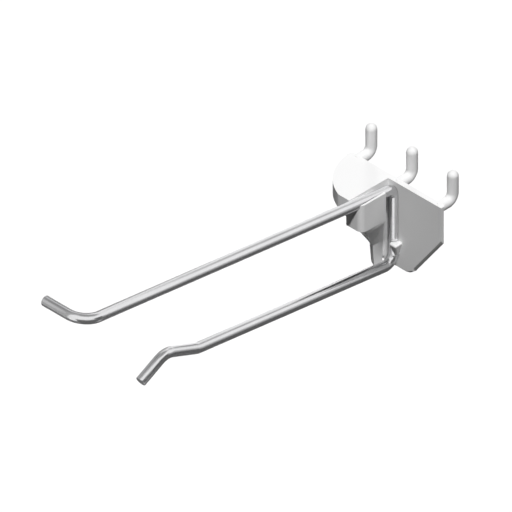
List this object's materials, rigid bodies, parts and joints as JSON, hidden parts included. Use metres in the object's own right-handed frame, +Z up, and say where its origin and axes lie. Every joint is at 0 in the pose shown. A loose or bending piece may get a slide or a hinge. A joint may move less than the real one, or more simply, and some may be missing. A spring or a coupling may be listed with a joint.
{
  "type": "pegboard hook",
  "caption": "Pegboard display hook: a moulded plastic back with upturned pegs holds one bent wire with a long upper arm, turned across at its front, and a shorter lower arm with a raised nose.",
  "frame": {"origin": "where the axis of the centre peg's root crosses the plate's back, the plane of the board's front face", "axes": "+X to the right along the board as seen from its front, +Y into the board, +Z up; the arms run towards -Y"},
  "size_m": [0.0586, 0.2098, 0.0685],
  "materials": {
    "white_plastic": "white moulded plastic, satin, plain",
    "plated_wire": "bright zinc plate on drawn steel wire"
  },
  "bodies": {
    "root": {"moulded_back": "white_plastic", "wire_hook": "plated_wire"}
  },
  "joints": []
}
